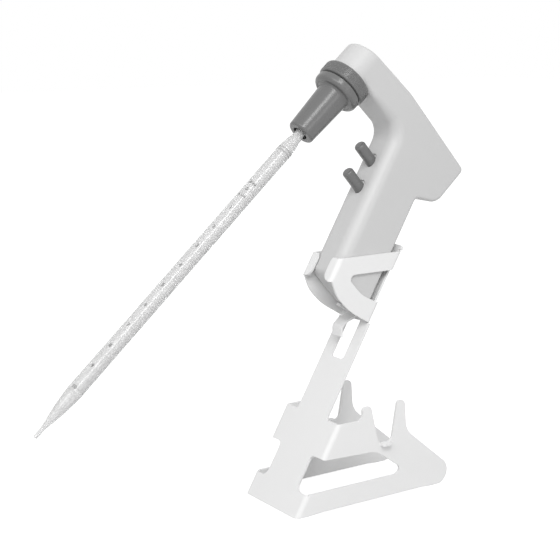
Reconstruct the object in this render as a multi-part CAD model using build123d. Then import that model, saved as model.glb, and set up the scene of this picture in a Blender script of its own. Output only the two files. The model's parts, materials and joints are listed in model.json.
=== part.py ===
"""Motorized pipette controller standing in its folded-sheet bench stand, with a pipette fitted.

Frame: origin on the bench, at the middle of the stand's front edge; +X to the stand's right,
+Y towards its rear feet, +Z up.  Millimetres.
"""
from build123d import *
from math import cos, pi, radians, sin, tan
import os

# ---------------------------------------------------------------- driving dimensions
# stand, one folded steel sheet
SHEET = 2.0                 # sheet thickness
LEAN = 30.0                 # column's lean back from the vertical, degrees
BASE_W = 75.0               # width over the side panels
BASE_BEND = 4.0             # outer radius of the base folds
COLUMN_W = 39.8             # width of the column and of the cradle
NECK_W = 43.0               # front panel's width between the base windows
SHOULDER_Z = 70.8           # height of the front panel's shoulders
WINDOW_LOW = 18.0           # base windows' lower edge
WINDOW_HIGH = 43.8          # base windows' upper edge
FOOT_LIFT = 1.0             # side panels' clearance over the bench between the feet
REAR_FOOT_R = 11.5          # rounding of the rear feet
REAR_FOOT_Y = 146.3         # centre of that rounding
REAR_SLOPE = 39.2           # slope of the side panels' rear edge, degrees
HANG_LOW = 48.0             # foot of the side panels' hanging slots
HANG_TOP = 81.5             # top of the ears beside them
SLOT_W = 16.6               # column slot
SLOT_LOW = 133.5            # its ends, measured up the column
SLOT_HIGH = 172.0
HOOK_W = 12.0               # bowed cord hook at the slot's upper end
CRADLE_BEND = 4.0           # outer radius of the cradle's folds
CRADLE_TOP = 202.4          # height of the cradle arms' top edges
PLATE_TOP = 239.0           # back plate's top, measured up the column
LIP_R = 6.6                 # rounding of the lips' inner corners
LIP_X = 9.0                 # half the gap between the cradle's front lips
REST_S = 175.5              # top faces of the rest tabs, measured up the column
REST_X = 11.2               # the two rest tabs' place either side of the middle
REST_W = 4.6
REST_LEN = 13.5

# controller
THICK = 35.0                # housing over its side faces
WALL = 2.0                  # housing wall
RAKE = 18.3                 # handle's angle from the nose axis, degrees
HEAD_REAR = 132.9           # nose axis to the head's rear face
HEAD_TOP = 42.2             # collar seam up to the top of the head
NOSE_TOP = 34.4             # the same at the head's front
UNDERSIDE = 11.5            # collar seam up to the head's underside
WEB_LEVEL = -10.2           # level where the handle's back meets the head
GRIP_FRONT = 61.6           # nose axis to the handle's front, at the seam's level
GRIP_DEPTH = 45.9           # handle, front to back
GRIP_BOTTOM = 110.4         # collar seam down to the handle's base
UNDER_R = 4.5               # rounding of the head's lower edges at the collar
GRIP_R = 10.0               # what it widens to, on the finger side's edges
EDGE_R = 3.0                # rounding of the other outer edges
PALM_R = 13.0               # inside curve where head and handle meet
WEB_R = 4.0                 # the same behind the handle
HEEL_LEVEL, HEEL_R = 3.1, 14.0      # lower rear corner of the head
CREST_BACK, CREST_R = 17.0, 60.0    # bend in the head's top, forward of the handle's front
BASE_R = 5.0                # rounding round the handle's base
STANDOFF = 5.6              # handle's back to the stand's column
FIT_GAP = 0.3               # clearance round pieces that lift off

# collar, nosepiece and pipette
RING_R = 20.8
RING_H = 11.3
SOCKET_R = 14.0
SOCKET_LEN = 30.0
SPIGOT_R = 12.0
SPIGOT_LEN = 8.0
SLEEVE_SEAT = -6.0          # level of the sleeve's foot, in the nosepiece
FLANGE_R = 19.9
FLANGE_ROUND = 3.8          # rounding of the flange's lower edge
FLANGE_EDGE = -1.3          # top of its rim, above it a bevel into the seam
FLANGE_LOW = -4.3           # its rim's lower end
NECK_R = 13.3
NECK_LEVEL = -10.3
NECK_ROUND = 2.5
CONE_END_R = 11.3
NOSE_LEN = 51.2
NOSE_HOLE_R = 6.3
HOLE_DEPTH = 4.0            # nosepiece's end to the rubber adapter
FILTER_BORE_R = 9.5
ADAPTER_R = 8.0
RUN = 0.05                  # radial running clearance
SEAM = 0.4                  # gap between the collar and the nosepiece
PIPETTE_R = 5.5
PIPETTE_BORE_R = 4.0
PIPETTE_LEN = 344.9
MOUTH_R = 4.0
MOUTH_BORE_R = 2.8
MOUTH_LEN = 44.2
MOUTH_TAPER = 18.5
TIP_LEN = 43.3
TIP_R = 1.7
TIP_BORE_R = 0.8
INSERTED = 34.2             # pipette's length inside the nosepiece

# buttons, each at its depth below the seam
BUTTON_LEVELS = {"aspirate": -15.3, "dispense": -38.0}
BUTTON_R = 4.8
BUTTON_OUT = 19.2           # how far a released button stands out of the handle
BUTTON_TRAVEL = 4.0
BUTTON_GAP = 0.15
BUTTON_FLANGE_R = 6.4
BUTTON_FLANGE_H = 1.6
RECESS_R = 6.6
RECESS_CUT = 0.9
STEM_R = 1.8
SPRING_R = 4.2
SPRING_WIRE_R = 0.35
SPRING_LEN = 12.0
SPRING_TURNS = 4
VALVE_BORE_LEN = 12.0

# inner pieces
CELL_R = 7.25               # AA cells
CELL_LEN = 50.5
CELL_GAP = 1.0
CELL_DEPTH = 12.6           # handle's front to the first cell's axis
CELL_LOW = -112.0           # cells' lower ends, measured up the handle
MOTOR_R = 10.0
MOTOR_LEN = 30.0
PUMP_LEN = 24.0
PUMP_SIDE = 20.0
BRACKET_T = 2.0
BRACKET_H = 74.0            # nose axis to the motor bracket
DRIVE_LEVEL = 26.0          # seam up to the motor's axis
BOARD_T = 1.6
BOARD_DEPTH = 38.6          # handle's front to the circuit board
TUBE_R = 2.5
TUBE_BORE_R = 1.25
TUBE_X = 12.8               # hoses run beside the pump
WHEEL_R = 8.0
WHEEL_T = 5.0
WHEEL_OUT = 2.5             # how far the wheel stands out of the rear face
WHEEL_LEVEL = 28.3
AXLE_R = 1.5
LENS_R = 1.8
LENS_LEVEL = 15.8
JACK_R = 3.2                # charging socket's bore
JACK_IN = 11.3              # heel to the charging socket's axis
SCREW_R = 1.5
SCREW_HEAD_R = 2.6
BOSS_R = 3.4
CAP_T = 1.5                 # base cap's inner flange
CAP_W = 18.0                # base cap's opening
CAP_PITCH = 16.5            # charging socket to the cap's screw
CAP_EDGE = 5.2              # their axes to the opening's ends

# ---------------------------------------------------------------- directions and planes
NOSE_SLOPE = 90 - LEAN - RAKE
S_L, C_L = sin(radians(LEAN)), cos(radians(LEAN))
S_N, C_N = sin(radians(NOSE_SLOPE)), cos(radians(NOSE_SLOPE))
S_R, C_R, T_R = sin(radians(RAKE)), cos(radians(RAKE)), tan(radians(RAKE))
UP = Vector(0, S_L, C_L)            # up the column and the handle
BACK = Vector(0, C_L, -S_L)         # square to the column, towards the rear
REAR = Vector(0, S_N, -C_N)         # along the head, towards its rear face
LIFT = Vector(0, C_N, S_N)          # up the nose axis

column_plane = Plane(origin=(0, 0, 0), x_dir=(1, 0, 0), z_dir=-BACK)    # X, up the column
across_plane = Plane(origin=(0, 0, 0), x_dir=(1, 0, 0), z_dir=UP)       # X, back from the column
side_plane = Plane(origin=(0, 0, 0), x_dir=(0, 1, 0), z_dir=(1, 0, 0))  # Y, Z

GRIP_BACK = GRIP_FRONT + GRIP_DEPTH / C_R
HALF = THICK / 2


def grip_front(level):
    """Distance of the handle's front from the nose axis, at a level over the seam."""
    return GRIP_FRONT - level * T_R


def grip_back(level):
    return GRIP_BACK - level * T_R


# the heel's lowest point stands on the rest tabs, the handle's back clear of the column
heel_h = grip_back(-GRIP_BOTTOM)
heel_s = REST_S + FIT_GAP - BASE_R * ((1 + S_R) / C_R - 1)
NOSE = (UP * (heel_s + heel_h * S_R + GRIP_BOTTOM * C_R)
        + BACK * (-STANDOFF - heel_h * C_R + GRIP_BOTTOM * S_R))
head_plane = Plane(origin=NOSE, x_dir=REAR, z_dir=(1, 0, 0))            # along the head, up the nose
nose_plane = Plane(origin=NOSE, x_dir=(1, 0, 0), z_dir=LIFT)            # X, along the head


def head_point(along, level, x=0.0):
    """A point from its place along the head, its level over the seam and its X."""
    return NOSE + REAR * along + LIFT * level + Vector(x, 0, 0)


def grip_point(depth, height, x=0.0):
    """A point from its depth behind the handle's front and its place up the handle."""
    return head_point(GRIP_FRONT + depth * C_R - height * S_R, depth * S_R + height * C_R, x)


# ---------------------------------------------------------------- helpers
def outline(*corners):
    """Face with rounded corners, from (x, y, radius) triples."""
    points = [(x, y) for x, y, _ in corners]
    radii = [r for _, _, r in corners]
    return make_face(FilletPolyline(*points, radius=radii, close=True).edges())


def slab(plane, face, near, far):
    """Prism of a face drawn on a plane, between two distances along the plane's normal."""
    return extrude(plane.offset(near) * face, amount=far - near, dir=plane.z_dir)


def rod(start, direction, radius, length):
    """Round bar from its end's centre."""
    return extrude(Plane(origin=start, z_dir=direction) * Circle(radius), amount=length)


def brick(along, level, x):
    """Block squared to the head, from its (low, high) ranges."""
    face = Rectangle(along[1] - along[0], level[1] - level[0], align=Align.MIN)
    return slab(head_plane, face.moved(Location((along[0], level[0]))), *x)


def grip_brick(depth, height, x):
    """Block squared to the handle, from its (low, high) ranges."""
    plane = Plane(origin=grip_point(0, 0), x_dir=BACK, z_dir=(1, 0, 0))
    face = Rectangle(depth[1] - depth[0], height[1] - height[0], align=Align.MIN)
    return slab(plane, face.moved(Location((depth[0], height[0]))), *x)


def turned(*profile):
    """Solid of revolution on the nose axis, from (radius, level) corners."""
    plane = Plane(origin=NOSE, x_dir=(1, 0, 0), z_dir=-REAR)
    return revolve(plane * make_face(Polyline(*profile, close=True).edges()), axis=Axis(NOSE, LIFT))


def hose(bend, *route):
    """Tube along straight runs joined by bends."""
    path = Wire(FilletPolyline(*route, radius=bend).edges())
    section = RegularPolygon(TUBE_R, 10) - RegularPolygon(TUBE_BORE_R, 6, major_radius=False)
    return sweep(Plane(origin=route[0], z_dir=route[1] - route[0]) * section, path=path)


def mirrored(corners):
    """Both halves of a symmetric outline, from its right half."""
    return corners + [(-x, y, r) for x, y, r in reversed(corners)]


# ---------------------------------------------------------------- stand
def base():
    half = BASE_W / 2
    reach = 175.0
    channel = outline(
        (-half, reach, 0), (-half, 0, BASE_BEND), (half, 0, BASE_BEND), (half, reach, 0),
        (half - SHEET, reach, 0), (half - SHEET, SHEET, BASE_BEND - SHEET),
        (-half + SHEET, SHEET, BASE_BEND - SHEET), (-half + SHEET, reach, 0))
    foot_y = REAR_FOOT_Y + REAR_FOOT_R / tan(radians(REAR_SLOPE / 2))
    waist_z = 54.7
    waist_y = foot_y - waist_z / tan(radians(REAR_SLOPE))
    side = outline(
        (-20, 0, 0), (12, 0, 14), (27, FOOT_LIFT, 14), (REAR_FOOT_Y - 16, FOOT_LIFT, 10),
        (REAR_FOOT_Y - 7, 0, 8), (foot_y, 0, REAR_FOOT_R), (waist_y, waist_z, 18),
        (109.5, HANG_TOP, 4.5), (101.5, HANG_TOP, 2.5), (96, HANG_LOW, 5.5), (82.5, HANG_LOW, 5.5),
        (74, HANG_TOP, 3.5), (65, HANG_TOP, 3), (66, SHOULDER_Z, 5), (-20, SHOULDER_Z, 0))
    sheet = slab(across_plane, channel, -20, 160) & slab(side_plane, side, -half - 5, half + 5)
    # each window runs from the front panel's neck round the fold and along the side panel
    fold = BASE_BEND / 2 + 0.5
    window = outline(
        ((fold + WINDOW_LOW * S_L) / C_L - 0.5, WINDOW_LOW, 0), (100.5, WINDOW_LOW, 6),
        (107.5, WINDOW_LOW + 4.5, 3.5), (80.5, WINDOW_HIGH - 2, 22),
        ((fold + WINDOW_HIGH * S_L) / C_L - 0.5, WINDOW_HIGH, 0))
    sheet -= slab(side_plane, window, -half - 5, half + 5)
    low, high = WINDOW_LOW / C_L, WINDOW_HIGH / C_L + 1
    for end in (-1, 1):
        neck = end * NECK_W / 2
        notch = outline((neck, low, 6), (2 * neck, low, 0), (2 * neck, high, 0), (neck, high, 4))
        sheet -= slab(column_plane, notch, -fold, fold)
        lip = outline((end * (half - SHEET / 2), 84.5, 0), (end * (half + 5), 84.5, 2),
                      (end * (half + 5), 94, 2), (end * (half - SHEET / 2), 94, 0))
        sheet += slab(Plane.XY, lip, HANG_LOW - SHEET, HANG_LOW)
    return sheet


def column():
    half = COLUMN_W / 2
    shoulder = SHOULDER_Z / C_L
    arms_low, arms_high = 168.6, CRADLE_TOP / C_L + 1.6
    inner = half - CRADLE_BEND
    plate = outline(*mirrored([
        (half + 8, shoulder - 9, 0), (half + 8, shoulder, 0), (half, shoulder, 4),
        (half, arms_low, 0), (inner, arms_low, 0), (inner, arms_high, 0),
        (half - 1, arms_high, 0), (half - 1, PLATE_TOP, 2.4)]))
    slot = outline(*mirrored([(SLOT_W / 2, SLOT_LOW, 3), (SLOT_W / 2, SLOT_HIGH, 2)]))
    sheet = slab(column_plane, plate, -SHEET, 0) - slab(column_plane, slot, -SHEET - 1, 1)
    # two rest tabs for the handle's heel, lanced out of the plate above them
    for end in (-1, 1):
        wide = REST_W / 2 + 0.7
        lance = Rectangle(2 * wide, REST_LEN + 1, align=(Align.CENTER, Align.MIN))
        sheet -= slab(column_plane, lance.moved(Location((end * REST_X, REST_S))), -SHEET - 1, 1)
        tab = outline(*[(end * REST_X + x, y, r) for x, y, r in mirrored(
            [(REST_W / 2, SHEET, 0), (REST_W / 2, -REST_LEN, 1.5)])])
        sheet += slab(across_plane, tab, REST_S - SHEET, REST_S)
    return sheet


def hook():
    """Strip at the slot's upper end, bent forward and down."""
    strip = outline((89.4, 153.3, 0), (72.2, 147.4, 7), (66.3, 142.5, 5), (66.3, 134.0, 0),
                    (68.3, 134.0, 0), (68.3, 141.6, 3), (72.9, 145.5, 5), (87.2, 150.4, 0))
    return slab(side_plane, strip, -HOOK_W / 2, HOOK_W / 2)


def cradle():
    half = COLUMN_W / 2
    depth = STANDOFF + GRIP_DEPTH + FIT_GAP + 0.2
    bend = CRADLE_BEND - SHEET
    wrap = outline(
        (half, SHEET, CRADLE_BEND), (half, -depth - SHEET, CRADLE_BEND), (LIP_X, -depth - SHEET, 0),
        (LIP_X, -depth, 0), (half - SHEET, -depth, bend), (half - SHEET, 0, bend),
        (-half + SHEET, 0, bend), (-half + SHEET, -depth, bend), (-LIP_X, -depth, 0),
        (-LIP_X, -depth - SHEET, 0), (-half, -depth - SHEET, CRADLE_BEND), (-half, SHEET, CRADLE_BEND))
    arms = outline((20, CRADLE_TOP, 0), (140, CRADLE_TOP, 0), (120, 140, 0), (88, 144.3, 0),
                   (64, 158.4, 60), (51.5, 172.0, 30), (46.9, 184.6, 0), (20, 184.6, 0))
    sheet = slab(across_plane, wrap, 150, 250) & slab(side_plane, arms, -half - 5, half + 5)
    # the lips' inner ends are rounded
    low, high = 182.8, CRADLE_TOP / C_L - (depth + SHEET) * tan(radians(LEAN))
    for end in (-1, 1):
        inner, outer = end * LIP_X, end * (half - CRADLE_BEND)
        lip = outline((inner, low, LIP_R), (outer, low, 0), (outer, high + 3, 0), (inner, high, LIP_R))
        zone = outline((inner - end, low - 20, 0), (outer, low - 20, 0), (outer, high + 30, 0),
                       (inner - end, high + 30, 0))
        sheet -= slab(column_plane, zone, depth - 1, depth + 5) - slab(column_plane, lip, depth - 2, depth + 6)
    # a window in each arm, running into the back plate
    window = outline((66.5, 187.9, 4), (125, 187.9, 0), (112, 157.5, 0), (92, 162.8, 0),
                     (77, 170.3, 25), (65.3, 183.0, 3))
    for near in (-half - 3, half - 5.2):
        sheet -= slab(side_plane, window, near, near + 8.2)
    return sheet


def stand_frame():
    half = COLUMN_W / 2
    frame = base() + column() + hook() + cradle()
    window = outline((95, 187.9, 0), (125, 187.9, 0), (112, 157.5, 0), (92, 162.8, 0))
    for near in (-half - 3, half - 5.2):
        frame -= slab(side_plane, window, near, near + 8.2)
    return frame


# ---------------------------------------------------------------- controller housing
def body_form(inset=0.0):
    """Outer form of the closed housing, or the hollow inside its wall."""
    half = HALF - inset
    face = outline(
        (-HALF, UNDERSIDE, 0), (grip_front(UNDERSIDE), UNDERSIDE, PALM_R),
        (grip_front(-GRIP_BOTTOM), -GRIP_BOTTOM, 0), (heel_h, -GRIP_BOTTOM, 0),
        (grip_back(WEB_LEVEL), WEB_LEVEL, WEB_R), (HEAD_REAR, HEEL_LEVEL, HEEL_R),
        (HEAD_REAR, HEAD_TOP, 4.5), (GRIP_FRONT - CREST_BACK, HEAD_TOP, CREST_R), (-HALF, NOSE_TOP, 0))
    if inset:
        face = offset(face, amount=-inset, kind=Kind.INTERSECTION)
    form = slab(head_plane, face, -half, half)
    barrel = slab(nose_plane, Circle(half), -60, 80)
    front = slab(nose_plane, Rectangle(4 * half, 100, align=(Align.CENTER, Align.MAX)), -60, 80)
    form -= front - barrel
    # rounded edges along the underside, widening to the palm curve, and down the handle's front
    under = UNDERSIDE + inset
    turn = GRIP_FRONT - under * T_R + inset / C_R
    path = head_plane * FilletPolyline((-2, under), (turn, under), (turn + 140 * T_R, under - 140),
                                       radius=PALM_R + inset)
    straight, curve, down = path.edges().sort_by(Axis(NOSE, -LIFT))
    bend = (straight @ 1 - NOSE).dot(REAR)
    for end in (-1, 1):
        wide = [edge_cutter(end, half, GRIP_R - inset), edge_cutter(end, half, UNDER_R - inset)]
        start, middle, last = (Plane(origin=head_point(along, under), x_dir=(1, 0, 0), z_dir=REAR)
                               for along in (-2, RING_R, bend))
        form -= loft([start * wide[1], middle * wide[1], last * wide[0]], ruled=True) - barrel
        form -= sweep(last * wide[0], path=Wire([curve, down]))
    return form


def edge_cutter(end, half, radius):
    """Section that rounds the edge at one side, drawn with the body below it."""
    x, y = end * (half - radius), -radius
    corner = Polyline((end * half, y), (end * (half + 1), y), (end * (half + 1), 1), (x, 1), (x, 0))
    slant = radius * cos(pi / 4)
    arc = ThreePointArc((x, 0), (x + end * slant, y + slant), (end * half, y))
    return make_face([*corner.edges(), *arc.edges()])


def edge_place(edge):
    """An edge's middle as (along the head, level over the seam, X)."""
    reach = edge.position_at(0.5) - NOSE
    return reach.dot(REAR), reach.dot(LIFT), reach.X


def rounded_form():
    """Outer form with its base, back and top edges rounded."""
    form = body_form()
    form = fillet([e for e in form.edges() if edge_place(e)[1] < 0.5 - GRIP_BOTTOM], BASE_R)
    rear = []
    for edge in form.edges():
        along, level, x = edge_place(edge)
        behind = along > grip_back(level) - 3 and level > BASE_R * 2 - GRIP_BOTTOM
        if abs(x) > HALF - 8 and (behind or level > NOSE_TOP - 0.5):
            rear.append(edge)
    return fillet(rear, EDGE_R)


BOSSES = [head_point(26, 33), head_point(122, 16), grip_point(8, -56), grip_point(40.2, -110)]
JACK_H = heel_h - JACK_IN
CAP_SCREW_H = JACK_H - CAP_PITCH
CAP_H = (CAP_SCREW_H - CAP_EDGE, JACK_H + CAP_EDGE)    # base cap's opening, along the head
CAP_HALF = CAP_W / 2
WHEEL_H = HEAD_REAR + WHEEL_OUT - WHEEL_R
INSIDE = HALF - WALL
TOP_INSIDE = HEAD_TOP - WALL


def button_face(level):
    """Distance of a button's inner stop face from the nose axis."""
    return grip_front(level) + WALL / C_R + (BUTTON_FLANGE_R + 0.1) * T_R


def spring_seat(level):
    return button_face(level) + BUTTON_FLANGE_H + SPRING_LEN


def housing():
    shell = rounded_form() - body_form(WALL)
    shell -= slab(nose_plane, Circle(SOCKET_R), UNDERSIDE - 1, UNDERSIDE + WALL + 1)
    for level in BUTTON_LEVELS.values():
        shell -= rod(head_point(0, level), REAR, BUTTON_R + BUTTON_GAP, button_face(level))
        shell -= rod(head_point(0, level), REAR, RECESS_R, grip_front(level) - RECESS_CUT)
    # screw bosses span the housing; the heads sit in counterbores on the left side
    right = Vector(1, 0, 0)
    for centre in BOSSES:
        shell += rod(centre - right * (INSIDE + 0.5), right, BOSS_R, 2 * INSIDE + 1)
    for centre in BOSSES:
        shell -= rod(centre - right * (HALF + 1), right, SCREW_HEAD_R + 0.1, 4.0)
        shell -= rod(centre - right * (HALF - 2), right, SCREW_R, 2 * HALF - 9)
    # cross rib for the base cap's screw, then the cap's opening
    shell += brick((CAP_SCREW_H - 3.5, CAP_SCREW_H + 3.5),
                   (WALL + CAP_T - GRIP_BOTTOM, 7 - GRIP_BOTTOM), (-INSIDE - 0.5, INSIDE + 0.5))
    shell -= brick(CAP_H, (-GRIP_BOTTOM - 1, WALL + 1 - GRIP_BOTTOM), (-CAP_HALF, CAP_HALF))
    shell -= rod(head_point(CAP_SCREW_H, -GRIP_BOTTOM - 1), LIFT, SCREW_R, 12)
    # thumb wheel's slot and the status light's hole in the rear face
    wheel = head_point(WHEEL_H, WHEEL_LEVEL)
    shell -= rod(wheel - right * (WHEEL_T / 2 + 0.4), right, WHEEL_R + 0.6, WHEEL_T + 0.8)
    for end in (-1, 1):
        shell += rod(wheel + right * end * (INSIDE + 0.5), right * -end, 3, 2.5)
    shell -= rod(wheel - right * (INSIDE - 0.5), right, AXLE_R, 2 * INSIDE - 1)
    shell -= rod(head_point(HEAD_REAR - 4, LENS_LEVEL), REAR, LENS_R, 6)
    return shell


def half_of(shell, end):
    """The shell's half on one side of the middle, 1 for right and -1 for left."""
    side = Rectangle(400, 600).moved(Location((80, 150)))
    return shell & slab(side_plane, side, *sorted((0, end * 60)))


def housing_screws():
    right = Vector(1, 0, 0)
    screws = []
    for centre in BOSSES:
        head = rod(centre - right * (HALF - 0.4), right, SCREW_HEAD_R, 2.4)
        screws.append(head + rod(centre - right * (HALF - 2.5), right, SCREW_R, 2 * HALF - 10))
    return Compound(screws)


# ---------------------------------------------------------------- collar, nosepiece, pipette
def nose_socket():
    inner = SPIGOT_R + RUN
    top = SOCKET_LEN
    socket = turned((inner, 0), (SOCKET_R, 0), (SOCKET_R, UNDERSIDE + WALL), (INSIDE - 0.3, UNDERSIDE + WALL),
                    (INSIDE - 0.3, UNDERSIDE + WALL + 1.5), (SOCKET_R, UNDERSIDE + WALL + 1.5),
                    (SOCKET_R, top - 2), (SOCKET_R - 2, top), (0, top), (0, top - 3), (inner, top - 3))
    nipple = rod(head_point(SOCKET_R - 1, 22), REAR, TUBE_BORE_R, 8)
    return socket + nipple - rod(head_point(SOCKET_R - 4, 22), REAR, 0.6, 14)


def retaining_ring():
    bore = SOCKET_R + RUN
    top = RING_H - 0.05
    back = arc_points((RING_R - 1.8, top - 1.8), (1.8, 1.8), 0, 90, 4)
    return turned((bore, 0), (FLANGE_R - 1.2, 0), (FLANGE_R + 0.2, 0.5), (RING_R, 1.4), *back, (bore, top))


def arc_points(centre, radii, start, stop, steps):
    """Corners along an elliptical arc, angles in degrees from the radial direction."""
    turns = [radians(start + (stop - start) * i / steps) for i in range(steps + 1)]
    return [(centre[0] + radii[0] * cos(a), centre[1] + radii[1] * sin(a)) for a in turns]


def nosepiece():
    rim = FLANGE_R - FLANGE_ROUND
    shoulder = arc_points((rim, FLANGE_LOW), (FLANGE_ROUND, FLANGE_ROUND), 0, -90, 7)
    neck = arc_points((NECK_R + NECK_ROUND, NECK_LEVEL), (NECK_ROUND, NECK_ROUND), 90, 180, 4)
    foot = arc_points((CONE_END_R - 2, 2 - NOSE_LEN), (2, 2), 0, -90, 4)
    floor = HOLE_DEPTH - NOSE_LEN
    return turned((SPIGOT_R, -SEAM), (SPIGOT_R, SLEEVE_SEAT), (FILTER_BORE_R, SLEEVE_SEAT),
                  (FILTER_BORE_R, -14), (ADAPTER_R, -14), (ADAPTER_R, floor), (NOSE_HOLE_R, floor),
                  (NOSE_HOLE_R, -NOSE_LEN), *reversed(foot), *reversed(neck), *reversed(shoulder),
                  (FLANGE_R, FLANGE_EDGE), (FLANGE_R - 1, -SEAM))


def nosepiece_sleeve():
    """Tube on the nosepiece that plugs into the socket."""
    return turned((FILTER_BORE_R, SLEEVE_SEAT), (SPIGOT_R, SLEEVE_SEAT), (SPIGOT_R, SPIGOT_LEN),
                  (FILTER_BORE_R, SPIGOT_LEN))


def pipette_adapter():
    bore = MOUTH_R + RUN
    seat, floor = INSERTED - NOSE_LEN, HOLE_DEPTH - NOSE_LEN
    return turned((bore, floor), (ADAPTER_R, floor), (ADAPTER_R, -14), (FILTER_BORE_R, -14),
                  (FILTER_BORE_R, -11), (2, -11), (2, seat), (bore, seat))


def membrane_filter():
    rim = FILTER_BORE_R
    return turned((0.9, -13), (2, -13), (2, -11), (rim, -11), (rim, -6), (3, -5), (3, 0.5), (1.8, 2),
                  (0.9, 2))


def seal_ring():
    """Seal in the nosepiece's sleeve, gripping the filter's neck."""
    return turned((3, -4.6), (FILTER_BORE_R, -5.6), (FILTER_BORE_R, -1), (3, -1))


def pipette():
    top = INSERTED - NOSE_LEN
    taper, tip = top - MOUTH_LEN, top - PIPETTE_LEN
    return turned((MOUTH_BORE_R, top), (MOUTH_R, top), (MOUTH_R, taper), (PIPETTE_R, taper - MOUTH_TAPER),
                  (PIPETTE_R, tip + TIP_LEN), (PIPETTE_R - 0.25, tip + TIP_LEN - 1.6), (TIP_R, tip), (TIP_BORE_R, tip),
                  (TIP_BORE_R, tip + 4), (PIPETTE_BORE_R, tip + TIP_LEN), (PIPETTE_BORE_R, taper - MOUTH_TAPER),
                  (MOUTH_BORE_R, taper))


def cotton_plug():
    top = INSERTED - NOSE_LEN - 4
    return turned((0, top), (MOUTH_BORE_R, top), (MOUTH_BORE_R, top - 22), (0, top - 22))


# ---------------------------------------------------------------- buttons and valves
def button(level):
    face = button_face(level)
    tip = grip_front(level) - BUTTON_OUT
    cap = fillet(rod(head_point(tip, level), REAR, BUTTON_R, face - tip).edges().sort_by(Axis(NOSE, REAR))[0],
                 2.2)
    flange = rod(head_point(face, level), REAR, BUTTON_FLANGE_R, BUTTON_FLANGE_H)
    stem = rod(head_point(face, level), REAR, STEM_R, BUTTON_FLANGE_H + SPRING_LEN + 4)
    return cap + flange + stem


def button_spring(level):
    start = head_point(button_face(level) + BUTTON_FLANGE_H + SPRING_WIRE_R, level)
    height = SPRING_LEN - 2 * SPRING_WIRE_R
    radius = SPRING_R - SPRING_WIRE_R
    coil = Plane(origin=start, x_dir=(1, 0, 0), z_dir=REAR) * Helix(height / SPRING_TURNS, height, radius)
    section = Plane(origin=coil @ 0, z_dir=coil % 0) * RegularPolygon(SPRING_WIRE_R, 4)
    return sweep(section, path=coil, is_frenet=True)


VALVE_TOP = -4.0
VALVE_STEP = -27.0


def valve_block():
    upper, lower = (spring_seat(level) for level in BUTTON_LEVELS.values())
    body = brick((upper, 100), (VALVE_STEP, VALVE_TOP), (-INSIDE, INSIDE))
    body += brick((lower, 106), (-46, VALVE_STEP), (-INSIDE, INSIDE))
    for level in BUTTON_LEVELS.values():
        seat = spring_seat(level)
        body -= rod(head_point(seat - 1, level), REAR, STEM_R + RUN, VALVE_BORE_LEN + 1)
        body -= rod(head_point(seat - 1, level), REAR, 3.0, 2.5)
    for along, x in ((90, TUBE_X), (92, -TUBE_X), (97.3, TUBE_X)):
        body += rod(head_point(along, VALVE_TOP - 0.5, x), LIFT, TUBE_BORE_R, 5.5)
    return body


def valve_seals():
    rings = []
    for level in BUTTON_LEVELS.values():
        seat = head_point(spring_seat(level), level)
        rings.append(rod(seat, REAR, 3.0, 1.5) - rod(seat, REAR, STEM_R + RUN, 1.5))
    return Compound(rings)


# ---------------------------------------------------------------- pump, hoses and electrics
def pump_motor():
    centre = head_point(BRACKET_H + BRACKET_T, DRIVE_LEVEL)
    can = rod(centre, REAR, MOTOR_R, MOTOR_LEN)
    shaft = rod(head_point(BRACKET_H - 6, DRIVE_LEVEL), REAR, 1.0, 10)
    return can + shaft + rod(centre, -REAR, 3.0, BRACKET_T)


def motor_bracket():
    plate = brick((BRACKET_H, BRACKET_H + BRACKET_T), (DRIVE_LEVEL - MOTOR_R - 1, TOP_INSIDE), (-10, 10))
    return plate - rod(head_point(BRACKET_H - 1, DRIVE_LEVEL), REAR, 3.0, BRACKET_T + 2)


def pump_head():
    low, half = BRACKET_H - PUMP_LEN, PUMP_SIDE / 2
    box = brick((low, BRACKET_H), (DRIVE_LEVEL - half, DRIVE_LEVEL + half), (-half, half))
    return box - rod(head_point(BRACKET_H - 6, DRIVE_LEVEL), REAR, 3.0, 7)


def pump_cap():
    low, half = BRACKET_H - PUMP_LEN, PUMP_SIDE / 2
    cap = brick((low - 4, low), (DRIVE_LEVEL - half, DRIVE_LEVEL + half), (-half, half))
    for level, x in ((26, -5), (31, 5)):
        cap += rod(head_point(low - 9, level, x), REAR, TUBE_BORE_R, 6)
    return cap


def nose_tube():
    end = head_point(90, VALVE_TOP, TUBE_X)
    return hose(7, head_point(SOCKET_R, 22), head_point(23, 22), head_point(36, 22, TUBE_X),
                head_point(90, 22, TUBE_X), end)


def pump_hose(level, x, end):
    """Hose from a nipple on the pump's cap round to the valve block."""
    side = TUBE_X if x > 0 else -TUBE_X
    start = BRACKET_H - PUMP_LEN - 4
    return hose(3.8, head_point(start, level, x), head_point(start - 9, level, x),
                head_point(start - 9, level, side), head_point(end, level, side),
                head_point(end, VALVE_TOP, side))


def battery_cell(place):
    depth = CELL_DEPTH + place * (2 * CELL_R + CELL_GAP)
    can = rod(grip_point(depth, CELL_LOW), UP, CELL_R, CELL_LEN - 1.2)
    return can + rod(grip_point(depth, CELL_LOW), UP, 2.75, CELL_LEN)


def battery_tray():
    low, high = CELL_LOW - 1.2, CELL_LOW + CELL_LEN + 1.0
    back = CELL_DEPTH + 3 * CELL_R + CELL_GAP
    tray = grip_brick((CELL_DEPTH - CELL_R + 5, back + 1.2), (low, CELL_LOW), (-INSIDE, INSIDE))
    tray += grip_brick((CELL_DEPTH - CELL_R + 8, back + 1.2), (high - 1.0, high), (-INSIDE, INSIDE))
    return tray + grip_brick((back, back + 1.2), (low, high), (-9, 9))


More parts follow.
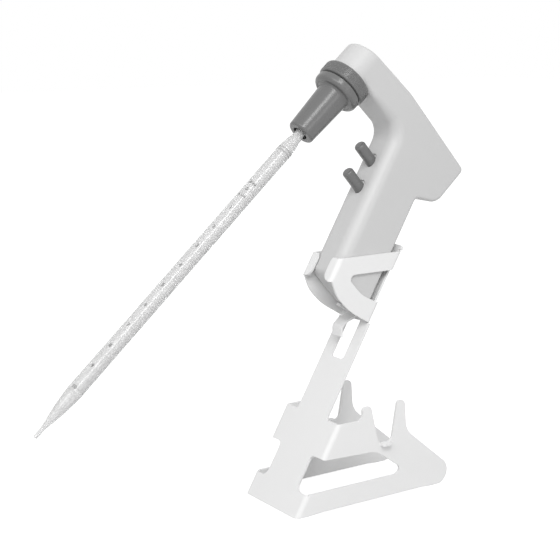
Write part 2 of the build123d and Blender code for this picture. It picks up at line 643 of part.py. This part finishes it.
def circuit_board():
    board = grip_brick((BOARD_DEPTH, BOARD_DEPTH + BOARD_T), (-102, -15), (-INSIDE, INSIDE))
    behind = BOARD_DEPTH + BOARD_T
    board += grip_brick((behind, behind + 1.2), (-48, -41), (-3.5, 3.5))
    return board + grip_brick((behind, behind + 1.8), (-75, -68), (-8, 8))


def charging_jack():
    start = head_point(JACK_H, WALL + CAP_T - GRIP_BOTTOM)
    return rod(start, LIFT, JACK_R + 1.2, 8.5) - rod(start, LIFT, JACK_R, 7.5)


def base_cap():
    low = -GRIP_BOTTOM
    cap = brick((CAP_H[0] + 0.15, CAP_H[1] - 0.15), (low, low + WALL), (0.15 - CAP_HALF, CAP_HALF - 0.15))
    cap += brick((CAP_H[0] - 2, CAP_H[1] + 1.2), (low + WALL, low + WALL + CAP_T), (-CAP_HALF - 2, CAP_HALF + 2))
    cap -= rod(head_point(JACK_H, low - 1), LIFT, JACK_R, 8)
    screw = head_point(CAP_SCREW_H, low - 1)
    return cap - rod(screw, LIFT, SCREW_R, 8) - rod(screw, LIFT, SCREW_HEAD_R + 0.1, 2.6)


def base_cap_screw():
    start = head_point(CAP_SCREW_H, 0.3 - GRIP_BOTTOM)
    return rod(start, LIFT, SCREW_HEAD_R, 1.3) + rod(start, LIFT, SCREW_R, 6.0)


def status_lens():
    start = head_point(HEAD_REAR - WALL - 2, LENS_LEVEL)
    return rod(start, REAR, LENS_R, WALL + 2.2) + rod(start, REAR, LENS_R + 0.9, 2)


def speed_wheel():
    centre = head_point(WHEEL_H, WHEEL_LEVEL, -WHEEL_T / 2)
    right = Vector(1, 0, 0)
    return chamfer(rod(centre, right, WHEEL_R, WHEEL_T).edges(), 0.5) - rod(centre, right, AXLE_R + RUN, WHEEL_T)


def wheel_axle():
    right = Vector(1, 0, 0)
    return rod(head_point(WHEEL_H, WHEEL_LEVEL, 0.5 - INSIDE), right, AXLE_R, 2 * INSIDE - 1)


def wheel_potentiometer():
    near = WHEEL_T / 2 + 1.0
    body = brick((WHEEL_H - 6, WHEEL_H + 3), (WHEEL_LEVEL - 6, WHEEL_LEVEL + 6), (near, near + 6))
    return body - rod(head_point(WHEEL_H, WHEEL_LEVEL), Vector(1, 0, 0), AXLE_R, HALF)


# ---------------------------------------------------------------- all the pieces
shell = housing()
PIECES = {
    "stand_frame": stand_frame(),
    "housing_left": half_of(shell, -1),
    "housing_right": half_of(shell, 1),
    "housing_screws": housing_screws(),
    "nose_socket": nose_socket(),
    "retaining_ring": retaining_ring(),
    "nosepiece": nosepiece(),
    "nosepiece_sleeve": nosepiece_sleeve(),
    "pipette_adapter": pipette_adapter(),
    "membrane_filter": membrane_filter(),
    "seal_ring": seal_ring(),
    "pipette": pipette(),
    "cotton_plug": cotton_plug(),
    "valve_block": valve_block(),
    "valve_seals": valve_seals(),
    "pump_motor": pump_motor(),
    "motor_bracket": motor_bracket(),
    "pump_head": pump_head(),
    "pump_cap": pump_cap(),
    "nose_tube": nose_tube(),
    "suction_tube": pump_hose(26, -5, 92),
    "exhaust_tube": pump_hose(31, 5, 97.3),
    "battery_tray": battery_tray(),
    "battery_cell_1": battery_cell(0),
    "battery_cell_2": battery_cell(1),
    "circuit_board": circuit_board(),
    "charging_jack": charging_jack(),
    "base_cap": base_cap(),
    "base_cap_screw": base_cap_screw(),
    "status_lens": status_lens(),
    "speed_wheel": speed_wheel(),
    "wheel_axle": wheel_axle(),
    "wheel_potentiometer": wheel_potentiometer(),
}
for name, level in BUTTON_LEVELS.items():
    PIECES[name + "_button"] = button(level)
    PIECES[name + "_spring"] = button_spring(level)

os.makedirs("parts", exist_ok=True)
for name, piece in PIECES.items():
    export_step(piece, "parts/" + name + ".step")
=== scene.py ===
"""Motorized pipette controller in its bench stand: finishes, fittings, printed scale, light and camera."""
import json
from math import cos, pi, radians, sin
import bpy
from mathutils import Matrix, Vector


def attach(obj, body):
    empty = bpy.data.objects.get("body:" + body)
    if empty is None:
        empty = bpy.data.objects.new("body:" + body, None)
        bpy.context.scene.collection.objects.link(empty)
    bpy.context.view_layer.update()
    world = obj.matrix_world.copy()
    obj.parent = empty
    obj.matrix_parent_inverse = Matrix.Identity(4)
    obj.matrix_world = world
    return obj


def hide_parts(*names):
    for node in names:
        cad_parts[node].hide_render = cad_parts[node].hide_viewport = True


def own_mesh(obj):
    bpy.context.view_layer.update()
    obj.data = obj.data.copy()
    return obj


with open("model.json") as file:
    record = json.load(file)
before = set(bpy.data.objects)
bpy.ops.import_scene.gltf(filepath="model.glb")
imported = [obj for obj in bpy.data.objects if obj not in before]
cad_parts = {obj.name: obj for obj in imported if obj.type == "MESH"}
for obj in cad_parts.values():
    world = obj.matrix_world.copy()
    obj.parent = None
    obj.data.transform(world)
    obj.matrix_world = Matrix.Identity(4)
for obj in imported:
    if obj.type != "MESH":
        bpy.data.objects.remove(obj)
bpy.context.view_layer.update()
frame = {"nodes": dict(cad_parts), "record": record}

MM = 0.001

# ---------------------------------------------------------------- directions and sizes shared with the CAD
LEAN, RAKE = radians(30.0), radians(18.3)
NOSE_SLOPE = pi / 2 - LEAN - RAKE
UP = Vector((0, sin(LEAN), cos(LEAN)))                      # up the handle
BACK = Vector((0, cos(LEAN), -sin(LEAN)))                   # handle's front to its back
REAR = Vector((0, sin(NOSE_SLOPE), -cos(NOSE_SLOPE)))       # along the head, towards its rear
LIFT = Vector((0, cos(NOSE_SLOPE), sin(NOSE_SLOPE)))        # up the nose axis
SIDE = Vector((1, 0, 0))
NOSE = Vector((0, 0.067091946, 0.336175877))                # collar seam on the nose axis
GRIP_FRONT = 61.6 * MM                                      # nose axis to the handle's front
RING_R, RIB_LOW, RIB_HIGH = 20.8 * MM, 1.8 * MM, 9.2 * MM    # retaining ring and its ribs' levels
PIPETTE_R = 6.2 * MM
WHEEL_AT, WHEEL_R, WHEEL_T = (127.4 * MM, 28.3 * MM), 8.0 * MM, 5.0 * MM
SCREW_FACE = -17.1 * MM                                     # outer face of the housing screws' heads
CAP_SCREW_AT = (118.66 * MM, -110.1 * MM)
# thickness of the dark hexagons that paint the shade of the screws' drive recesses
DRIVE_SHADE_DEPTH = 0.1 * MM
PRINT_LIFT = 0.02 * MM                                      # how far print stands off the pipette


def head_point(along, level, x=0.0):
    return NOSE + REAR * along + LIFT * level + SIDE * x


def grip_point(depth, height, x=0.0):
    """A point from its depth behind the handle's front and its place up the handle."""
    return head_point(GRIP_FRONT, 0, x) + BACK * depth + UP * height


def axes(origin, x_axis, z_axis):
    """Matrix that places a piece drawn about the origin."""
    y_axis = z_axis.cross(x_axis)
    turn = Matrix((x_axis, y_axis, z_axis)).transposed().to_4x4()
    return Matrix.Translation(origin) @ turn


def link(thing):
    bpy.context.scene.collection.objects.link(thing)


# ---------------------------------------------------------------- node helpers
def new_tree(name, kind, inputs, outputs):
    """Node group with named inputs (type, default) and outputs (type)."""
    tree = bpy.data.node_groups.new(name, kind)
    for label, (socket_type, default) in inputs.items():
        socket = tree.interface.new_socket(label, in_out="INPUT", socket_type="NodeSocket" + socket_type)
        if default is not None:
            socket.default_value = default
    for label, socket_type in outputs.items():
        tree.interface.new_socket(label, in_out="OUTPUT", socket_type="NodeSocket" + socket_type)
    return tree, tree.nodes.new("NodeGroupInput").outputs, tree.nodes.new("NodeGroupOutput").inputs


def add(tree, kind, values=None, **settings):
    """Adds a node; settings are its properties, values its inputs, linked or set."""
    node = tree.nodes.new(kind)
    for key, value in settings.items():
        setattr(node, key, value)
    for key, value in (values or {}).items():
        if isinstance(value, bpy.types.NodeSocket):
            tree.links.new(value, node.inputs[key])
        else:
            node.inputs[key].default_value = value
    return node


def compute(tree, operation, *values):
    """Output of a Math node."""
    return add(tree, "ShaderNodeMath", dict(enumerate(values)), operation=operation).outputs[0]


# ---------------------------------------------------------------- surface effects shared by the materials
def surface_group():
    """Moulded or coated grain: mottled colour, uneven gloss and a bumped normal with softened edges."""
    tree, head, tail = new_tree("fine_surface", "ShaderNodeTree", {
        "Colour": ("Color", (0.5, 0.5, 0.5, 1)), "Tint": ("Color", (0.45, 0.45, 0.45, 1)),
        "Mottle": ("Float", 0.1), "Grain": ("Float", 1500.0), "Depth": ("Float", 0.00003),
        "Roughness": ("Float", 0.4), "Spread": ("Float", 0.08), "Edge": ("Float", 0.0003)},
        {"Colour": "Color", "Roughness": "Float", "Normal": "Vector"})
    place = add(tree, "ShaderNodeTexCoord").outputs["Object"]
    cloud = add(tree, "ShaderNodeTexNoise", {"Vector": place, "Scale": 26.0, "Detail": 4.0})
    amount = compute(tree, "MULTIPLY", cloud.outputs["Fac"], head["Mottle"])
    mix = add(tree, "ShaderNodeMix", {0: amount, 6: head["Colour"], 7: head["Tint"]}, data_type="RGBA")
    tree.links.new(mix.outputs[2], tail["Colour"])
    gloss = add(tree, "ShaderNodeTexNoise", {"Vector": place, "Scale": 90.0, "Detail": 3.0})
    swing = compute(tree, "SUBTRACT", gloss.outputs["Fac"], 0.5)
    uneven = compute(tree, "MULTIPLY_ADD", swing, head["Spread"], head["Roughness"])
    tree.links.new(uneven, tail["Roughness"])
    grain = add(tree, "ShaderNodeTexNoise", {"Vector": place, "Scale": head["Grain"], "Detail": 2.0})
    edge = add(tree, "ShaderNodeBevel", {"Radius": head["Edge"]}, samples=6)
    bump = add(tree, "ShaderNodeBump", {"Height": grain.outputs["Fac"], "Distance": head["Depth"],
                                        "Normal": edge.outputs["Normal"]})
    tree.links.new(bump.outputs["Normal"], tail["Normal"])
    return tree


FINE = surface_group()
TINT_SHADE = 0.93                   # the mottle's darker colour, as a share of the main one


def blank_material(name):
    """A new material and its node tree."""
    made = bpy.data.materials.new(name)
    made.use_nodes = True
    return made, made.node_tree


def material(name, colour, roughness=0.4, grain=1500.0, depth=0.00003, edge=0.0003, **sockets):
    """Principled material on the fine surface group; sockets set the shader's own inputs."""
    made, tree = blank_material(name)
    shader = tree.nodes["Principled BSDF"]
    tint = [channel * TINT_SHADE for channel in colour]
    group = add(tree, "ShaderNodeGroup", node_tree=FINE)
    for key, value in {"Colour": (*colour, 1), "Tint": (*tint, 1), "Mottle": 0.25, "Grain": grain,
                       "Depth": depth, "Roughness": roughness, "Spread": 0.08, "Edge": edge}.items():
        group.inputs[key].default_value = value
    for source, target in (("Colour", "Base Color"), ("Roughness", "Roughness"), ("Normal", "Normal")):
        tree.links.new(group.outputs[source], shader.inputs[target])
    for key, value in sockets.items():
        shader.inputs[key].default_value = value
    made.diffuse_color = (*colour, 1)
    return made


def clear_tube():
    """Drawn clear plastic: the colour stays on the shader, the gloss varies a little."""
    made, tree = blank_material("clear_drawn_tube")
    shader = tree.nodes["Principled BSDF"]
    for key, value in {"Base Color": (0.85, 0.85, 0.85, 1), "Transmission Weight": 0.5, "IOR": 1.5}.items():
        shader.inputs[key].default_value = value
    place = add(tree, "ShaderNodeTexCoord").outputs["Object"]
    cloud = add(tree, "ShaderNodeTexNoise", {"Vector": place, "Scale": 60.0, "Detail": 2.0})
    gloss = compute(tree, "MULTIPLY_ADD", cloud.outputs["Fac"], 0.05, 0.15)
    tree.links.new(gloss, shader.inputs["Roughness"])
    made.diffuse_color = (0.9, 0.9, 0.9, 0.4)
    return made


MATERIALS = {
    "white_steel": material("white_powder_coat", (0.80, 0.80, 0.80), roughness=0.42, grain=1100,
                            edge=0.0005),
    "pale_housing": material("pale_grey_housing", (0.57, 0.57, 0.57), roughness=0.45, grain=2600,
                             depth=0.00002),
    "grey_plastic": material("dark_grey_plastic", (0.14, 0.14, 0.14), roughness=0.27, grain=2200,
                             depth=0.00002, edge=0.0004),
    "clear_pipette": clear_tube(),
    "cotton": material("cotton_fibre", (0.86, 0.86, 0.84), roughness=0.95, grain=4000, depth=0.0002),
    "silicone": material("clear_silicone", (0.72, 0.72, 0.70), roughness=0.35),
    "dark_rubber": material("dark_rubber", (0.03, 0.03, 0.03), roughness=0.6, grain=1800),
    "filter": material("filter_plastic", (0.8, 0.8, 0.8), roughness=0.4),
    "black_plastic": material("black_plastic", (0.02, 0.02, 0.02), roughness=0.4),
    "steel": material("bright_steel", (0.6, 0.6, 0.61), roughness=0.3, Metallic=1.0),
    "motor_can": material("motor_can", (0.5, 0.5, 0.52), roughness=0.35, Metallic=1.0),
    "cell": material("cell_sleeve", (0.12, 0.3, 0.18), roughness=0.3),
    "board": material("circuit_board", (0.02, 0.16, 0.07), roughness=0.3),
    "lens": material("status_lens", (0.2, 0.65, 0.3), roughness=0.1),
}
NUMBERS_INK = material("printed_numbers", (0.16, 0.16, 0.16), roughness=0.6, edge=0.00001)
LINES_INK = material("printed_lines", (0.42, 0.42, 0.42), roughness=0.6, edge=0.00001)
for part in frame["record"]["subparts"]:
    for spot in frame["nodes"][part["node"]].material_slots:
        spot.material = MATERIALS[part["material_slot"]]


# ---------------------------------------------------------------- pieces and the trees that grow them
def grow(name, tree, values, place, body, slot, finish=None, base=None):
    """Runs a Geometry Nodes tree on an object and keeps the result as a plain placed mesh."""
    seed = bpy.data.objects.new(name + "_seed", base or bpy.data.meshes.new(name + "_seed"))
    link(seed)
    modifier = seed.modifiers.new("grow", "NODES")
    modifier.node_group = tree
    settings = {**values, "Finish": finish or MATERIALS[slot]}
    for item in tree.interface.items_tree:
        if item.in_out == "INPUT" and item.name in settings:
            modifier[item.identifier] = settings[item.name]
    graph = bpy.context.evaluated_depsgraph_get()
    mesh = bpy.data.meshes.new_from_object(seed.evaluated_get(graph))
    bpy.data.objects.remove(seed)
    return keep(name, mesh, place, body, slot, finish)


def keep(name, mesh, place, body, slot, finish=None):
    """Places a mesh and makes it a piece that rides on a body; its finish is the slot's unless given."""
    mesh.name = name
    mesh.transform(place)
    mesh.materials.clear()
    mesh.materials.append(finish or MATERIALS[slot])
    piece = bpy.data.objects.new(name, mesh)
    link(piece)
    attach(piece, body)
    return piece


def geometry_tree(name, inputs):
    """Tree with named inputs, and the call that ends it on its result with a real mesh and a finish."""
    tree, head, tail = new_tree(name, "GeometryNodeTree", {"Geometry": ("Geometry", None), **inputs,
                                                           "Finish": ("Material", None)},
                                {"Geometry": "Geometry"})

    def close(geometry):
        real = add(tree, "GeometryNodeRealizeInstances", {0: geometry})
        done = add(tree, "GeometryNodeSetMaterial", {"Geometry": real.outputs[0],
                                                     "Material": head["Finish"]})
        tree.links.new(done.outputs[0], tail["Geometry"])
    return tree, head, close


def bar(tree, length, width, height):
    """Half-round bar lying along Z, its flat side through the origin."""
    path = add(tree, "GeometryNodeCurvePrimitiveLine", {"Start": (0, 0, 0), "Direction": (0, 0, 1),
                                                        "Length": length}, mode="DIRECTION")
    section = add(tree, "GeometryNodeCurvePrimitiveCircle", {"Resolution": 8, "Radius": 1.0})
    half = compute(tree, "MULTIPLY", width, 0.5)
    size = add(tree, "ShaderNodeCombineXYZ", {"X": height, "Y": half, "Z": 1.0})
    section = add(tree, "GeometryNodeTransform", {"Geometry": section.outputs["Curve"],
                                                  "Scale": size.outputs[0]})
    return add(tree, "GeometryNodeCurveToMesh", {"Curve": path.outputs["Curve"],
                                                 "Profile Curve": section.outputs[0],
                                                 "Fill Caps": True}).outputs["Mesh"]


def rib_ring_tree():
    """Bars parallel to Z, spaced evenly round it."""
    tree, head, close = geometry_tree("rib_ring", {
        "Count": ("Int", 60), "Radius": ("Float", 0.01), "Length": ("Float", 0.01),
        "Width": ("Float", 0.0005), "Height": ("Float", 0.0002)})
    ring = add(tree, "GeometryNodeMeshCircle", {"Vertices": head["Count"], "Radius": head["Radius"]})
    index = add(tree, "GeometryNodeInputIndex").outputs[0]
    step = compute(tree, "DIVIDE", 2 * pi, head["Count"])
    turn = add(tree, "ShaderNodeCombineXYZ", {"Z": compute(tree, "MULTIPLY", index, step)})
    rib = bar(tree, head["Length"], head["Width"], head["Height"])
    rows = add(tree, "GeometryNodeInstanceOnPoints", {"Points": ring.outputs["Mesh"], "Instance": rib,
                                                      "Rotation": turn.outputs[0]})
    close(rows.outputs[0])
    return tree


def tick_row_tree():
    """Arcs of printed line round Z, spaced evenly down it."""
    tree, head, close = geometry_tree("tick_row", {
        "Count": ("Int", 10), "Spacing": ("Float", 0.002), "Radius": ("Float", 0.005), "Steps": ("Int", 9),
        "Middle": ("Float", 0.0), "Sweep": ("Float", 0.5), "Line": ("Float", 0.0003),
        "Thickness": ("Float", 0.00003)})
    half = compute(tree, "MULTIPLY", head["Sweep"], 0.5)
    arc = add(tree, "GeometryNodeCurveArc", {
        "Resolution": head["Steps"], "Radius": head["Radius"], "Sweep Angle": head["Sweep"],
        "Start Angle": compute(tree, "SUBTRACT", head["Middle"], half)})
    section = add(tree, "GeometryNodeCurvePrimitiveQuadrilateral", {"Width": head["Thickness"],
                                                                    "Height": head["Line"]})
    tick = add(tree, "GeometryNodeCurveToMesh", {"Curve": arc.outputs["Curve"],
                                                 "Profile Curve": section.outputs["Curve"],
                                                 "Fill Caps": True})
    down = add(tree, "ShaderNodeCombineXYZ", {"Z": compute(tree, "MULTIPLY", head["Spacing"], -1.0)})
    line = add(tree, "GeometryNodeMeshLine", {"Count": head["Count"], "Offset": down.outputs[0]})
    rows = add(tree, "GeometryNodeInstanceOnPoints", {"Points": line.outputs[0],
                                                      "Instance": tick.outputs["Mesh"]})
    close(rows.outputs[0])
    return tree


def socket_tree():
    """A thin dark six-sided prism on each of the base mesh's points, facing Z: painted shade standing in
    for a screw's drive recess.
    """
    tree, head, close = geometry_tree("painted_drive_shade", {"Radius": ("Float", 0.001),
                                                        "Depth": ("Float", 0.0001)})
    prism = add(tree, "GeometryNodeMeshCylinder", {"Vertices": 6, "Radius": head["Radius"],
                                                   "Depth": head["Depth"]})
    spots = add(tree, "GeometryNodeInstanceOnPoints", {"Points": head["Geometry"],
                                                       "Instance": prism.outputs["Mesh"]})
    close(spots.outputs[0])
    return tree


RIBS, TICKS, DRIVE_SHADES = rib_ring_tree(), tick_row_tree(), socket_tree()

# the collar's grip ribs
grow("ring_ribs", RIBS, {"Count": 110, "Radius": RING_R, "Length": RIB_HIGH - RIB_LOW, "Width": 0.45 * MM,
                         "Height": 0.12 * MM},
     axes(head_point(0, RIB_LOW), SIDE, LIFT), "retaining_ring", "grey_plastic")

# the thumb wheel's ribs
grow("wheel_ribs", RIBS, {"Count": 26, "Radius": WHEEL_R, "Length": WHEEL_T - 1.0 * MM, "Width": 0.9 * MM,
                          "Height": 0.3 * MM},
     axes(head_point(*WHEEL_AT, x=0.5 * MM - WHEEL_T / 2), REAR, SIDE), "speed_wheel", "grey_plastic")

# painted shade of the screws' six-sided drive recesses, drawn as thin dark hexagons on their heads
screws = bpy.data.meshes.new("screw_heads")
LEFT = axes(Vector((0, 0, 0)), LIFT, -SIDE)
places = [head_point(26 * MM, 33 * MM, SCREW_FACE), head_point(122 * MM, 16 * MM, SCREW_FACE),
          grip_point(8 * MM, -56 * MM, SCREW_FACE), grip_point(40.2 * MM, -110 * MM, SCREW_FACE)]
screws.from_pydata([LEFT.inverted() @ place for place in places], [], [])
grow("housing_screw_drive_shade", DRIVE_SHADES, {"Radius": 1.3 * MM, "Depth": DRIVE_SHADE_DEPTH}, LEFT, "controller",
     "black_plastic", base=screws)
cap_screw = bpy.data.meshes.new("cap_screw_head")
cap_screw.from_pydata([(0, 0, 0)], [], [])
grow("base_cap_screw_drive_shade", DRIVE_SHADES, {"Radius": 1.2 * MM, "Depth": DRIVE_SHADE_DEPTH},
     axes(head_point(*CAP_SCREW_AT), SIDE, -LIFT), "controller", "black_plastic", base=cap_screw)

# ---------------------------------------------------------------- springs behind the two buttons
for button in ("aspirate", "dispense"):
    wire = bpy.data.objects[button + "_spring"].data.copy()
    spring = keep(button + "_coil", wire, Matrix(), "controller", "steel")
    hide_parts(button + "_spring")
    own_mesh(spring)


# ---------------------------------------------------------------- the pipette and its printed scale
def lathe(profile, segments=96):
    """Closed outline (radius, level) in millimetres turned round Z."""
    corners, faces, count = [], [], len(profile)
    for step in range(segments):
        angle = 2 * pi * step / segments
        corners += [(cos(angle) * radius * MM, sin(angle) * radius * MM, level * MM)
                    for radius, level in profile]
        after = (step + 1) % segments
        for i in range(count):
            j = (i + 1) % count
            faces.append((step * count + i, step * count + j, after * count + j, after * count + i))
    mesh = bpy.data.meshes.new("lathe")
    mesh.from_pydata(corners, [], faces)
    mesh.shade_smooth()
    mesh.set_sharp_from_angle(angle=radians(35))
    return mesh


# (radius, level) in millimetres from the collar seam: mouthpiece, body, weld bead, tip, then back up inside
OUTSIDE = [(3.8, -17.0), (4.0, -17.3), (4.0, -53.2), (4.15, -54.8), (6.1, -68.2), (6.2, -69.6),
           (6.2, -318.0), (6.35, -318.3), (6.35, -319.0), (6.15, -319.3), (5.95, -323.0), (5.65, -327.0),
           (5.25, -331.0), (4.78, -335.0), (4.2, -339.0), (3.5, -343.0), (2.75, -347.0), (2.15, -350.5),
           (1.85, -353.5), (1.7, -357.0), (1.65, -361.2), (1.45, -361.8), (1.0, -361.9)]
BORE = [(0.8, -361.6), (0.8, -354.0), (1.3, -349.0), (2.3, -343.0), (3.6, -335.0), (4.5, -327.0),
        (4.85, -318.0), (4.85, -69.6), (4.7, -68.2), (2.95, -54.8), (2.8, -53.2), (2.8, -17.0)]
TURNED = axes(NOSE, SIDE, LIFT)
tube = keep("pipette_tube", lathe(OUTSIDE + BORE), TURNED, "pipette", "clear_pipette")
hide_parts("pipette")

ML = 20.02 * MM                     # length of one millilitre
FIRST = -136.3 * MM                 # level of the 1 ml mark
SCALE_AT = radians(8)               # where the scale runs, measured from SIDE round the nose axis
NUMBERS_AT = radians(-57)           # where the numbers run, measured the same way
SPAN = 12                           # millilitres marked, two of them above zero
SCALE_TOP = FIRST + 3 * ML
BANDS_TOP = -70.8 * MM
LABEL_GAP = 6.5 * MM                # from the zero mark to the capacity and the division


def printed_lines(name, count, spacing, sweep, start, line=0.22 * MM, **settings):
    """Rows of printed arcs, from the level start downwards."""
    grow(name, TICKS, {"Count": count, "Spacing": spacing, "Radius": PIPETTE_R + PRINT_LIFT,
                       "Middle": SCALE_AT, "Sweep": sweep, "Line": line, "Thickness": 0.04 * MM,
                       **settings},
         TURNED @ Matrix.Translation((0, 0, start)), "pipette", "clear_pipette", LINES_INK)


printed_lines("tenth_marks", SPAN * 10 + 1, ML / 10, radians(30), SCALE_TOP)
printed_lines("half_marks", SPAN * 2 + 1, ML / 2, radians(48), SCALE_TOP)
printed_lines("millilitre_marks", SPAN + 1, ML, radians(75), SCALE_TOP)
printed_lines("size_bands", 2, 2.6 * MM, radians(359.9), BANDS_TOP, line=1.1 * MM, Steps=72)


def printed(name, words, size, level, angle):
    """Text wrapped round the pipette, read with the tip down."""
    curve = bpy.data.curves.new(name, "FONT")
    curve.body = words
    curve.size = size
    curve.align_x, curve.align_y = "CENTER", "CENTER"
    curve.extrude = 0.02 * MM
    curve.offset = 0.1 * MM
    curve.resolution_u = 2
    flat = bpy.data.objects.new(name + "_flat", curve)
    link(flat)
    graph = bpy.context.evaluated_depsgraph_get()
    mesh = bpy.data.meshes.new_from_object(flat.evaluated_get(graph))
    bpy.data.objects.remove(flat)
    for vertex in mesh.vertices:
        x, y, z = vertex.co
        around = angle + x / PIPETTE_R
        radius = PIPETTE_R + PRINT_LIFT + z
        vertex.co = (cos(around) * radius, sin(around) * radius, level + y)
    return mesh


ZERO = FIRST + ML
marks = [printed(f"number_{number}", str(number), 4.2 * MM, FIRST - (number - 1) * ML, NUMBERS_AT)
         for number in range(11)]
marks.append(printed("capacity", "10 ml", 3.4 * MM, ZERO + LABEL_GAP, NUMBERS_AT))
marks.append(printed("division", "in 1/10", 2.4 * MM, ZERO - LABEL_GAP, NUMBERS_AT))
words = bpy.data.meshes.new("scale_numbers")
corners, faces = [], []
for mesh in marks:
    faces += [tuple(corner + len(corners) for corner in face.vertices) for face in mesh.polygons]
    corners += [vertex.co.copy() for vertex in mesh.vertices]
    bpy.data.meshes.remove(mesh)
words.from_pydata(corners, [], faces)
keep("scale_numbers", words, TURNED, "pipette", "clear_pipette", NUMBERS_INK)


# ---------------------------------------------------------------- stage, light, camera
SKY, FLOOR_LIFT = 0.62, 0.75        # the sky's light, and what the floor gives out where it is looked at
FLOOR_HALF = 6.0


def seen_directly(tree):
    """1 for the rays that show the background: straight from the camera, mirrored or through glass."""
    path = add(tree, "ShaderNodeLightPath").outputs
    either = compute(tree, "MAXIMUM", path["Is Camera Ray"], path["Is Glossy Ray"])
    return compute(tree, "MAXIMUM", either, path["Is Transmission Ray"])


def pale_floor():
    """Diffuse floor, lifted to white where it is looked at; the shadow stays."""
    made, tree = blank_material("white_floor")
    tree.nodes.clear()
    lit = add(tree, "ShaderNodeBsdfDiffuse", {"Color": (0.6, 0.6, 0.6, 1)})
    strength = compute(tree, "MULTIPLY", seen_directly(tree), FLOOR_LIFT)
    lift = add(tree, "ShaderNodeEmission", {"Color": (1, 1, 1, 1), "Strength": strength})
    both = add(tree, "ShaderNodeAddShader", {0: lit.outputs[0], 1: lift.outputs[0]})
    add(tree, "ShaderNodeOutputMaterial", {"Surface": both.outputs[0]})
    mesh = bpy.data.meshes.new("floor")
    around = ((-1, -1), (1, -1), (1, 1), (-1, 1))
    mesh.from_pydata([(x * FLOOR_HALF, y * FLOOR_HALF, 0) for x, y in around], [], [(0, 1, 2, 3)])
    mesh.materials.append(made)
    floor = bpy.data.objects.new("floor", mesh)
    link(floor)


def studio_world():
    """White where it is looked at, a plain pale level for the light."""
    world = bpy.data.worlds.new("studio")
    bpy.context.scene.world = world
    world.use_nodes = True
    tree = world.node_tree
    sky = tree.nodes["Background"]
    sky.inputs["Color"].default_value = (1, 1, 1, 1)
    level = compute(tree, "MULTIPLY_ADD", seen_directly(tree), 1 - SKY, SKY)
    tree.links.new(level, sky.inputs["Strength"])


def soft_light(name, where, at, width, length, power, along=(0, 0, 1)):
    """Softbox that faces a point, its length as near as it can be to the direction along."""
    data = bpy.data.lights.new(name, "AREA")
    data.shape = "RECTANGLE"
    data.size, data.size_y = width, length
    data.energy = power
    back = (Vector(where) - Vector(at)).normalized()
    across = Vector(along).cross(back).normalized()
    light = bpy.data.objects.new(name, data)
    light.matrix_world = axes(Vector(where), across, back)
    link(light)


pale_floor()
studio_world()
bpy.context.scene.view_settings.view_transform = "Standard"
soft_light("key", (1.2, -0.54, 1.36), (0, -0.07, 0.2), 0.45, 1.1, 13.6, LIFT)
soft_light("front", (0.8, -1.35, 1.35), (0, 0.0, 0.25), 0.9, 0.9, 8.8)
soft_light("side", (1.72, 0.36, 0.65), (0, 0.05, 0.25), 0.5, 0.5, 1.8)

FOCAL_PIXELS, PICTURE_PIXELS, SENSOR = 1311.0, 560, 36
CAMERA_RIGHT, CAMERA_UP, CAMERA_OUT = 0.00818, 0.18465, 1.0714     # its place along its own axes
azimuth, elevation = radians(55.71), radians(11.17)
out = Vector((sin(azimuth) * cos(elevation), -cos(azimuth) * cos(elevation), sin(elevation)))
right = Vector((cos(azimuth), sin(azimuth), 0))
up = out.cross(right)
lens = bpy.data.cameras.new("camera")
lens.sensor_width = SENSOR
lens.lens = FOCAL_PIXELS / PICTURE_PIXELS * SENSOR
lens.clip_start, lens.clip_end = 0.01, 50
camera = bpy.data.objects.new("camera", lens)
camera.matrix_world = Matrix((right, up, out)).transposed().to_4x4()
camera.location = CAMERA_RIGHT * right + CAMERA_UP * up + CAMERA_OUT * out
link(camera)
bpy.context.scene.camera = camera
